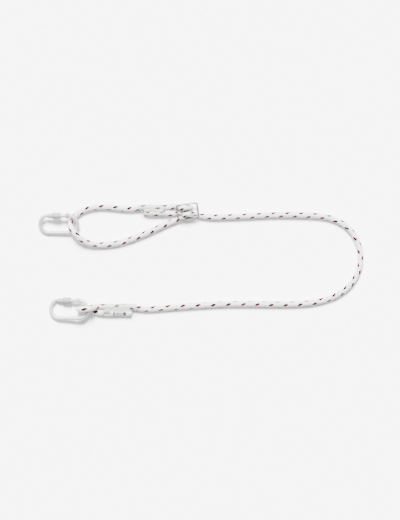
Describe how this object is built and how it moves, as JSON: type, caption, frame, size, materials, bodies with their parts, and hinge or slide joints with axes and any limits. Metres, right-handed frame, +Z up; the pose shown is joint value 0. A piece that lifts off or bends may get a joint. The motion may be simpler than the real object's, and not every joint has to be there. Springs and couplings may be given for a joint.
{
  "type": "tree climbing lanyard",
  "caption": "Adjustable rope lanyard: stitched eyes, flat three-bar rope slide and screw-sleeve carabiners with sprung gates, laid out on a floor.",
  "frame": {"origin": "on the floor, below the middle of the box round the carabiners and the slide", "axes": "+X from the carabiners towards the rope's far bend, +Y from the lower carabiner to the upper one, +Z up"},
  "size_m": [0.8943, 0.3246, 0.0448],
  "materials": {
    "rope": "braided white cover with dark marker strands",
    "eye_seam": "stitching thread",
    "slide_seam": "stitching thread",
    "eye_tube": "clear shrink film",
    "slide_tube": "clear shrink film",
    "label": "plain white strip",
    "slide_frame": "polished steel rod",
    "slide_bar": "polished steel rod",
    "upper_body": "polished zinc-plated steel",
    "upper_gate": "turned and plated steel",
    "upper_sleeve": "smooth matte steel",
    "upper_rivet": "steel rivet",
    "upper_latch_pin": "ground steel pin",
    "upper_retaining_ring": "spring steel",
    "upper_plunger": "ground steel",
    "upper_spring": "spring wire",
    "lower_body": "polished zinc-plated steel",
    "lower_gate": "turned and plated steel",
    "lower_sleeve": "smooth matte steel",
    "lower_rivet": "steel rivet",
    "lower_latch_pin": "ground steel pin",
    "lower_retaining_ring": "spring steel",
    "lower_plunger": "ground steel",
    "lower_spring": "spring wire"
  },
  "bodies": {
    "rope_and_slide": {"rope": "rope", "eye_seam": "eye_seam", "slide_seam": "slide_seam", "eye_tube": "eye_tube", "slide_tube": "slide_tube", "label": "label", "slide_frame": "slide_frame", "slide_bar": "slide_bar"},
    "upper_carabiner": {"upper_body": "upper_body", "upper_rivet": "upper_rivet"},
    "upper_gate_arm": {"upper_gate": "upper_gate", "upper_latch_pin": "upper_latch_pin", "upper_spring": "upper_spring"},
    "upper_plunger_rod": {"upper_plunger": "upper_plunger"},
    "upper_sleeve_carrier": {"upper_retaining_ring": "upper_retaining_ring"},
    "upper_screw_sleeve": {"upper_sleeve": "upper_sleeve"},
    "lower_carabiner": {"lower_body": "lower_body", "lower_rivet": "lower_rivet"},
    "lower_gate_arm": {"lower_gate": "lower_gate", "lower_latch_pin": "lower_latch_pin", "lower_spring": "lower_spring"},
    "lower_plunger_rod": {"lower_plunger": "lower_plunger"},
    "lower_sleeve_carrier": {"lower_retaining_ring": "lower_retaining_ring"},
    "lower_screw_sleeve": {"lower_sleeve": "lower_sleeve"}
  },
  "joints": [
    {"name": "upper_swing", "type": "hinge", "parent": "rope_and_slide", "child": "upper_carabiner", "pos_m": [-0.12276, 0.1018, 0.01474], "axis": [-0.0342, 0.7361, 0.676], "range_deg": [0, 24]},
    {"name": "upper_gate_hinge", "type": "hinge", "parent": "upper_carabiner", "child": "upper_gate_arm", "pos_m": [-0.1433, 0.12431, 0.02295], "axis": [-0.0482, -0.3024, 0.952], "range_deg": [0, 20], "stiffness_Nm_per_rad": 1, "springref_deg": -14.32},
    {"name": "upper_plunger_slide", "type": "slide", "parent": "upper_gate_arm", "child": "upper_plunger_rod", "axis": [-0.9987, 0, -0.0506], "range_m": [0, 0.0009]},
    {"name": "upper_sleeve_travel", "type": "slide", "parent": "upper_gate_arm", "child": "upper_sleeve_carrier", "axis": [-0.9987, 0, -0.0506], "range_m": [0, 0.0155]},
    {"name": "upper_sleeve_spin", "type": "hinge", "parent": "upper_sleeve_carrier", "child": "upper_screw_sleeve", "pos_m": [-0.17361, 0.12431, 0.02142], "axis": [-0.9987, 0, -0.0506], "range_deg": [0, 1596]},
    {"name": "lower_swing", "type": "hinge", "parent": "rope_and_slide", "child": "lower_carabiner", "pos_m": [-0.08909, -0.1329, 0.02212], "axis": [0, 1, 0], "range_deg": [0, 150]},
    {"name": "lower_gate_hinge", "type": "hinge", "parent": "lower_carabiner", "child": "lower_gate_arm", "pos_m": [-0.11501, -0.10865, 0.01764], "axis": [-0.159, 0, 0.9873], "range_deg": [0, 20], "stiffness_Nm_per_rad": 1, "springref_deg": -14.32},
    {"name": "lower_plunger_slide", "type": "slide", "parent": "lower_gate_arm", "child": "lower_plunger_rod", "axis": [-0.9873, 0, -0.159], "range_m": [0, 0.0009]},
    {"name": "lower_sleeve_travel", "type": "slide", "parent": "lower_gate_arm", "child": "lower_sleeve_carrier", "axis": [-0.9873, 0, -0.159], "range_m": [0, 0.0155]},
    {"name": "lower_sleeve_spin", "type": "hinge", "parent": "lower_sleeve_carrier", "child": "lower_screw_sleeve", "pos_m": [-0.14497, -0.10865, 0.01281], "axis": [-0.9873, 0, -0.159], "range_deg": [0, 1596]}
  ],
  "couplings": [
    {"joint": "upper_plunger_slide", "follows": "upper_gate_hinge", "m_per_rad": 0.00257},
    {"joint": "upper_sleeve_spin", "follows": "upper_sleeve_travel", "rad_per_m": 1795.2},
    {"joint": "lower_plunger_slide", "follows": "lower_gate_hinge", "m_per_rad": 0.00257},
    {"joint": "lower_sleeve_spin", "follows": "lower_sleeve_travel", "rad_per_m": 1795.2}
  ]
}
